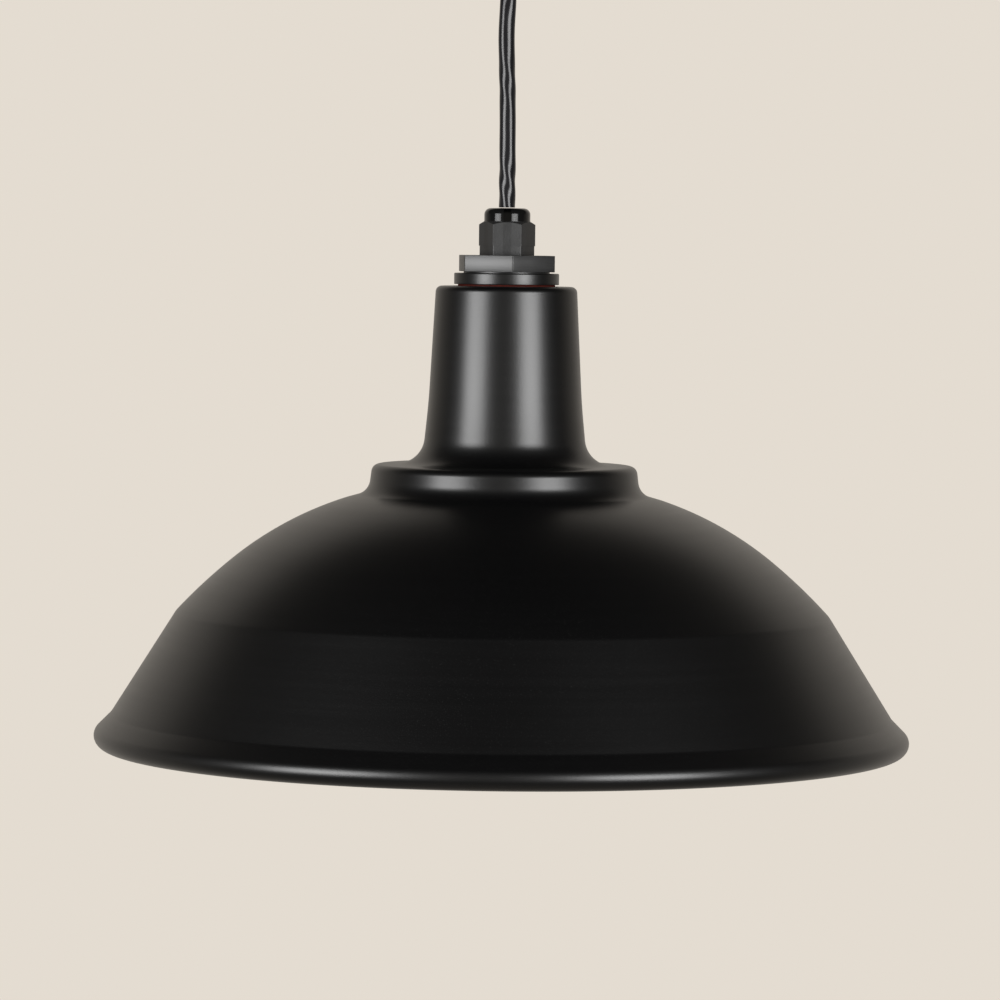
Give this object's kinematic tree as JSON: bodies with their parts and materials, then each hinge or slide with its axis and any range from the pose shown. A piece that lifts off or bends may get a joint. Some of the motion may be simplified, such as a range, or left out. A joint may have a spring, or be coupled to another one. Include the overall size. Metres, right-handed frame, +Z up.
{
  "type": "pendant ceiling light",
  "caption": "Black spun-metal pendant light: stepped bell shade with rolled rim under a tapered neck, sealed cable gland, short flex and ceiling rose, lampholder and lamp inside.",
  "frame": {"origin": "middle of the rose strap's face against the ceiling", "axes": "+Z up into the ceiling, so the lamp hangs towards -Z; the front of the lamp looks along -Y and +X is to the right"},
  "size_m": [0.3578, 0.3578, 0.392],
  "materials": {
    "black_paint": "satin black powder coat",
    "black_nylon": "moulded, matt flats and polished dome",
    "black_rubber": "matt",
    "flex_pvc": "glossy round sheath",
    "gunmetal": "fine turned, dark satin",
    "red_silicone": "matt",
    "zinc_steel": "bright zinc plate",
    "brass": "machined",
    "nickel": "satin nickel plate",
    "porcelain": "unglazed white",
    "white_plastic": "satin white",
    "opal_plastic": "frosted opal",
    "board_green": "lacquered board",
    "board_aluminium": "white lacquered",
    "core_brown": "core insulation",
    "core_blue": "core insulation",
    "core_green": "core insulation, green and yellow"
  },
  "bodies": {
    "rose": {"rose_strap": "zinc_steel", "rose_cover": "black_paint", "rose_cover_screw_left": "zinc_steel", "rose_cover_screw_right": "zinc_steel", "rose_cord_grip": "black_nylon", "rose_grip_locknut": "zinc_steel", "rose_grip_clamp_screw": "zinc_steel", "rose_terminal_block": "porcelain", "rose_terminal_screw_live": "brass", "rose_terminal_screw_neutral": "brass", "rose_terminal_screw_earth": "brass", "rose_earth_screw": "brass", "cord_tail_rose": "flex_pvc", "rose_core_live": "core_brown", "rose_core_neutral": "core_blue", "rose_core_earth": "core_green"},
    "sleeve": {"strain_relief_sleeve": "black_rubber"},
    "pendant": {"cord": "flex_pvc", "gland_dome_nut": "black_nylon", "gland_claw": "black_nylon", "gland_seal": "black_rubber", "gland_body": "black_nylon", "hex_adaptor": "gunmetal", "flange_washer": "black_paint", "neck_gasket": "red_silicone", "shade": "black_paint", "neck_washer": "zinc_steel", "neck_locknut": "zinc_steel", "threaded_nipple": "zinc_steel", "nipple_nut": "zinc_steel", "earth_tag": "brass", "cord_tail_head": "flex_pvc", "head_core_live": "core_brown", "head_core_neutral": "core_blue", "lampholder_cap": "black_nylon", "lampholder_skirt": "black_nylon", "lampholder_insert": "porcelain", "lampholder_screw_shell": "brass", "lampholder_screw_live": "brass", "lampholder_screw_neutral": "brass", "lampholder_centre_contact": "brass"},
    "lamp_centre": {"lamp_contact": "nickel", "lamp_insulator": "black_nylon"},
    "lamp": {"lamp_cap": "nickel", "lamp_housing": "white_plastic", "lamp_diffuser": "opal_plastic", "lamp_led_board": "board_aluminium", "lamp_driver_board": "board_green"}
  },
  "joints": [
    {"name": "swing_side", "type": "hinge", "parent": "rose", "child": "sleeve", "pos_m": [0, 0, -0.03405], "axis": [0, 1, 0], "range_deg": [-25, 25], "deforming": ["strain_relief_sleeve"]},
    {"name": "swing_front", "type": "hinge", "parent": "sleeve", "child": "pendant", "pos_m": [0, 0, -0.05605], "axis": [1, 0, 0], "range_deg": [-25, 25], "deforming": ["strain_relief_sleeve"]},
    {"name": "lamp_travel", "type": "slide", "parent": "pendant", "child": "lamp_centre", "axis": [0, 0, -1], "range_m": [0, 0.02]},
    {"name": "lamp_turn", "type": "hinge", "parent": "lamp_centre", "child": "lamp", "pos_m": [0, 0, -0.3], "axis": [0, 0, -1], "range_deg": [0, 1980]}
  ],
  "couplings": [
    {"joint": "lamp_travel", "follows": "lamp_turn", "m_per_rad": 0.00057757}
  ]
}
